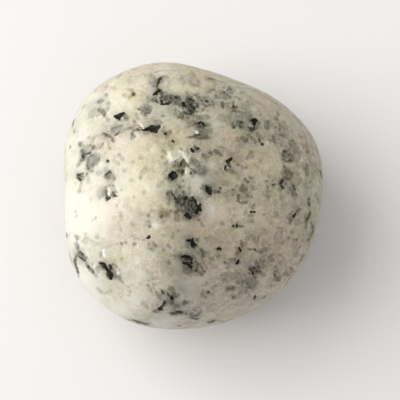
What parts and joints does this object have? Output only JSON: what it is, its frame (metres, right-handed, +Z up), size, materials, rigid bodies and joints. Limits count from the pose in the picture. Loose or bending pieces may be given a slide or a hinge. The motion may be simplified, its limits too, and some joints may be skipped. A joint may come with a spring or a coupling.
{
  "type": "tumbled stone",
  "caption": "Tumbled dalmatian jasper pebble: rounded, softly faceted cream stone with grey quartz grains and scattered black crystals, free-standing on a small worn flat.",
  "frame": {"origin": "under the middle of the bounding box, on the surface that the stone rests on", "axes": "+Z up; +Y along the stone's longest extent, from its broad end to its narrow shoulder; +X across it, towards its quartz-rich side"},
  "size_m": [0.0262, 0.027, 0.0207],
  "materials": {
    "spotted_stone": "satin"
  },
  "bodies": {
    "root": {"stone": "spotted_stone"}
  },
  "joints": []
}
